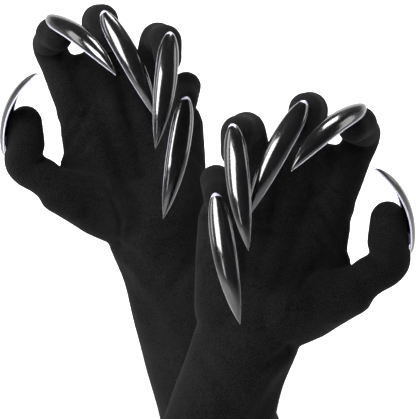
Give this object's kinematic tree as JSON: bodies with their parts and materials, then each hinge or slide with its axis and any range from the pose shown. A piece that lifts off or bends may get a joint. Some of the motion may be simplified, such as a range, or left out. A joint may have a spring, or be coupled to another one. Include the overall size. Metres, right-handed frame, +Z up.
{
  "type": "clawed costume gloves",
  "caption": "Pair of long black stretch gloves, left and right, with a long curved claw fixed to the back of every fingertip.",
  "frame": {"origin": "centre of the left glove's arm opening, at the outer face of its hem", "axes": "+Z up, -Y out of the palms toward the viewer, +X to the viewer's right"},
  "size_m": [0.2256, 0.233, 0.3834],
  "materials": {
    "glove_fabric": "matte fine knit",
    "hem_fabric": "matte fine knit, folded double and stitched",
    "claw_plastic": "high gloss moulded",
    "adhesive_pad": "soft clear-grey adhesive gel"
  },
  "bodies": {
    "left_sleeve": {"left_cuff_hem": "hem_fabric", "left_sleeve": "glove_fabric"},
    "left_hand": {"left_palm_panel": "glove_fabric", "left_back_panel": "glove_fabric", "left_thumb_gusset": "glove_fabric"},
    "left_index_base": {"left_index_base_sleeve": "glove_fabric"},
    "left_index_middle": {"left_index_middle_sleeve": "glove_fabric"},
    "left_index_tip": {"left_index_tip_sleeve": "glove_fabric", "left_index_claw": "claw_plastic", "left_index_claw_pad": "adhesive_pad"},
    "left_middle_base": {"left_middle_base_sleeve": "glove_fabric"},
    "left_middle_middle": {"left_middle_middle_sleeve": "glove_fabric"},
    "left_middle_tip": {"left_middle_tip_sleeve": "glove_fabric", "left_middle_claw": "claw_plastic", "left_middle_claw_pad": "adhesive_pad"},
    "left_ring_base": {"left_ring_base_sleeve": "glove_fabric"},
    "left_ring_middle": {"left_ring_middle_sleeve": "glove_fabric"},
    "left_ring_tip": {"left_ring_tip_sleeve": "glove_fabric", "left_ring_claw": "claw_plastic", "left_ring_claw_pad": "adhesive_pad"},
    "left_little_base": {"left_little_base_sleeve": "glove_fabric"},
    "left_little_middle": {"left_little_middle_sleeve": "glove_fabric"},
    "left_little_tip": {"left_little_tip_sleeve": "glove_fabric", "left_little_claw": "claw_plastic", "left_little_claw_pad": "adhesive_pad"},
    "left_thumb_base": {"left_thumb_base_sleeve": "glove_fabric"},
    "left_thumb_tip": {"left_thumb_tip_sleeve": "glove_fabric", "left_thumb_claw": "claw_plastic", "left_thumb_claw_pad": "adhesive_pad"},
    "right_sleeve": {"right_cuff_hem": "hem_fabric", "right_sleeve": "glove_fabric"},
    "right_hand": {"right_palm_panel": "glove_fabric", "right_back_panel": "glove_fabric", "right_thumb_gusset": "glove_fabric"},
    "right_index_base": {"right_index_base_sleeve": "glove_fabric"},
    "right_index_middle": {"right_index_middle_sleeve": "glove_fabric"},
    "right_index_tip": {"right_index_tip_sleeve": "glove_fabric", "right_index_claw": "claw_plastic", "right_index_claw_pad": "adhesive_pad"},
    "right_middle_base": {"right_middle_base_sleeve": "glove_fabric"},
    "right_middle_middle": {"right_middle_middle_sleeve": "glove_fabric"},
    "right_middle_tip": {"right_middle_tip_sleeve": "glove_fabric", "right_middle_claw": "claw_plastic", "right_middle_claw_pad": "adhesive_pad"},
    "right_ring_base": {"right_ring_base_sleeve": "glove_fabric"},
    "right_ring_middle": {"right_ring_middle_sleeve": "glove_fabric"},
    "right_ring_tip": {"right_ring_tip_sleeve": "glove_fabric", "right_ring_claw": "claw_plastic", "right_ring_claw_pad": "adhesive_pad"},
    "right_little_base": {"right_little_base_sleeve": "glove_fabric"},
    "right_little_middle": {"right_little_middle_sleeve": "glove_fabric"},
    "right_little_tip": {"right_little_tip_sleeve": "glove_fabric", "right_little_claw": "claw_plastic", "right_little_claw_pad": "adhesive_pad"},
    "right_thumb_base": {"right_thumb_base_sleeve": "glove_fabric"},
    "right_thumb_tip": {"right_thumb_tip_sleeve": "glove_fabric", "right_thumb_claw": "claw_plastic", "right_thumb_claw_pad": "adhesive_pad"}
  },
  "joints": [
    {"name": "left_wrist", "type": "hinge", "parent": "left_sleeve", "child": "left_hand", "pos_m": [-0.06346, 0, 0.18967], "axis": [0.9636, 0, 0.2672], "range_deg": [-15, 15]},
    {"name": "left_index_knuckle", "type": "hinge", "parent": "left_hand", "child": "left_index_base", "pos_m": [-0.10989, 0, 0.25981], "axis": [0.9037, 0.2079, 0.3743], "range_deg": [-10, 4]},
    {"name": "left_index_middle_joint", "type": "hinge", "parent": "left_index_base", "child": "left_index_middle", "pos_m": [-0.12455, -0.00133, 0.29592], "axis": [0.9037, 0.2079, 0.3743], "range_deg": [-76, 6]},
    {"name": "left_index_tip_joint", "type": "hinge", "parent": "left_index_middle", "child": "left_index_tip", "pos_m": [-0.12195, -0.02429, 0.3024], "axis": [0.9037, 0.2079, 0.3743], "range_deg": [-34, 4]},
    {"name": "left_middle_knuckle", "type": "hinge", "parent": "left_hand", "child": "left_middle_base", "pos_m": [-0.09073, 0, 0.26927], "axis": [0.9759, 0.1219, 0.1809], "range_deg": [-27, 8]},
    {"name": "left_middle_middle_joint", "type": "hinge", "parent": "left_middle_base", "child": "left_middle_middle", "pos_m": [-0.09632, -0.01357, 0.30862], "axis": [0.9759, 0.1219, 0.1809], "range_deg": [-73, 6]},
    {"name": "left_middle_tip_joint", "type": "hinge", "parent": "left_middle_middle", "child": "left_middle_tip", "pos_m": [-0.09305, -0.03936, 0.30831], "axis": [0.9759, 0.1219, 0.1809], "range_deg": [-50, 6]},
    {"name": "left_ring_knuckle", "type": "hinge", "parent": "left_hand", "child": "left_ring_base", "pos_m": [-0.07108, 0, 0.26953], "axis": [0.9714, 0.225, -0.0764], "range_deg": [-49, 8]},
    {"name": "left_ring_middle_joint", "type": "hinge", "parent": "left_ring_base", "child": "left_ring_middle", "pos_m": [-0.06303, -0.02493, 0.29842], "axis": [0.9714, 0.225, -0.0764], "range_deg": [-53, 6]},
    {"name": "left_ring_tip_joint", "type": "hinge", "parent": "left_ring_middle", "child": "left_ring_tip", "pos_m": [-0.05758, -0.04923, 0.29625], "axis": [0.9714, 0.225, -0.0764], "range_deg": [-46, 6]},
    {"name": "left_little_knuckle", "type": "hinge", "parent": "left_hand", "child": "left_little_base", "pos_m": [-0.05272, 0, 0.26321], "axis": [0.9431, 0.1045, -0.3156], "range_deg": [-78, 8]},
    {"name": "left_little_middle_joint", "type": "hinge", "parent": "left_little_base", "child": "left_little_middle", "pos_m": [-0.04647, -0.02897, 0.2723], "axis": [0.9431, 0.1045, -0.3156], "range_deg": [-49, 6]},
    {"name": "left_little_tip_joint", "type": "hinge", "parent": "left_little_middle", "child": "left_little_tip", "pos_m": [-0.04775, -0.0455, 0.26301], "axis": [0.9431, 0.1045, -0.3156], "range_deg": [-28, 5]},
    {"name": "left_thumb_root_joint", "type": "hinge", "parent": "left_hand", "child": "left_thumb_base", "pos_m": [-0.11671, -0.018, 0.21329], "axis": [0.3226, 0.848, 0.4204], "range_deg": [-20, 12]},
    {"name": "left_thumb_tip_joint", "type": "hinge", "parent": "left_thumb_base", "child": "left_thumb_tip", "pos_m": [-0.13734, -0.018, 0.22912], "axis": [0.3226, 0.848, 0.4204], "range_deg": [-59, 8]},
    {"name": "right_wrist", "type": "hinge", "parent": "right_sleeve", "child": "right_hand", "pos_m": [-0.01334, -0.11, 0.13597], "axis": [0.9636, 0, -0.2672], "range_deg": [-15, 15]},
    {"name": "right_index_knuckle", "type": "hinge", "parent": "right_hand", "child": "right_index_base", "pos_m": [0.03309, -0.11, 0.20611], "axis": [0.9037, -0.2079, -0.3743], "range_deg": [-10, 4]},
    {"name": "right_index_middle_joint", "type": "hinge", "parent": "right_index_base", "child": "right_index_middle", "pos_m": [0.04775, -0.11133, 0.24222], "axis": [0.9037, -0.2079, -0.3743], "range_deg": [-76, 6]},
    {"name": "right_index_tip_joint", "type": "hinge", "parent": "right_index_middle", "child": "right_index_tip", "pos_m": [0.04515, -0.13429, 0.2487], "axis": [0.9037, -0.2079, -0.3743], "range_deg": [-34, 4]},
    {"name": "right_middle_knuckle", "type": "hinge", "parent": "right_hand", "child": "right_middle_base", "pos_m": [0.01393, -0.11, 0.21557], "axis": [0.9759, -0.1219, -0.1809], "range_deg": [-27, 8]},
    {"name": "right_middle_middle_joint", "type": "hinge", "parent": "right_middle_base", "child": "right_middle_middle", "pos_m": [0.01953, -0.12357, 0.25492], "axis": [0.9759, -0.1219, -0.1809], "range_deg": [-73, 6]},
    {"name": "right_middle_tip_joint", "type": "hinge", "parent": "right_middle_middle", "child": "right_middle_tip", "pos_m": [0.01625, -0.14936, 0.25461], "axis": [0.9759, -0.1219, -0.1809], "range_deg": [-50, 6]},
    {"name": "right_ring_knuckle", "type": "hinge", "parent": "right_hand", "child": "right_ring_base", "pos_m": [-0.00572, -0.11, 0.21583], "axis": [0.9714, -0.225, 0.0764], "range_deg": [-49, 8]},
    {"name": "right_ring_middle_joint", "type": "hinge", "parent": "right_ring_base", "child": "right_ring_middle", "pos_m": [-0.01376, -0.13493, 0.24472], "axis": [0.9714, -0.225, 0.0764], "range_deg": [-53, 6]},
    {"name": "right_ring_tip_joint", "type": "hinge", "parent": "right_ring_middle", "child": "right_ring_tip", "pos_m": [-0.01922, -0.15923, 0.24255], "axis": [0.9714, -0.225, 0.0764], "range_deg": [-46, 6]},
    {"name": "right_little_knuckle", "type": "hinge", "parent": "right_hand", "child": "right_little_base", "pos_m": [-0.02408, -0.11, 0.20951], "axis": [0.9431, -0.1045, 0.3156], "range_deg": [-78, 8]},
    {"name": "right_little_middle_joint", "type": "hinge", "parent": "right_little_base", "child": "right_little_middle", "pos_m": [-0.03033, -0.13897, 0.2186], "axis": [0.9431, -0.1045, 0.3156], "range_deg": [-49, 6]},
    {"name": "right_little_tip_joint", "type": "hinge", "parent": "right_little_middle", "child": "right_little_tip", "pos_m": [-0.02905, -0.1555, 0.20931], "axis": [0.9431, -0.1045, 0.3156], "range_deg": [-28, 5]},
    {"name": "right_thumb_root_joint", "type": "hinge", "parent": "right_hand", "child": "right_thumb_base", "pos_m": [0.03991, -0.128, 0.15959], "axis": [0.3226, -0.848, -0.4204], "range_deg": [-20, 12]},
    {"name": "right_thumb_tip_joint", "type": "hinge", "parent": "right_thumb_base", "child": "right_thumb_tip", "pos_m": [0.06054, -0.128, 0.17542], "axis": [0.3226, -0.848, -0.4204], "range_deg": [-59, 8]},
    {"name": "pair_spacing", "type": "slide", "parent": "left_sleeve", "child": "right_sleeve", "axis": [1, 0, 0], "range_m": [0, 0.25]}
  ],
  "couplings": [
    {"joint": "left_index_tip_joint", "follows": "left_index_middle_joint", "ratio": 0.4211},
    {"joint": "left_middle_tip_joint", "follows": "left_middle_middle_joint", "ratio": 0.6849},
    {"joint": "left_ring_tip_joint", "follows": "left_ring_middle_joint", "ratio": 0.8302},
    {"joint": "left_little_tip_joint", "follows": "left_little_middle_joint", "ratio": 0.5714},
    {"joint": "right_index_tip_joint", "follows": "right_index_middle_joint", "ratio": 0.4211},
    {"joint": "right_middle_tip_joint", "follows": "right_middle_middle_joint", "ratio": 0.6849},
    {"joint": "right_ring_tip_joint", "follows": "right_ring_middle_joint", "ratio": 0.8302},
    {"joint": "right_little_tip_joint", "follows": "right_little_middle_joint", "ratio": 0.5714}
  ]
}
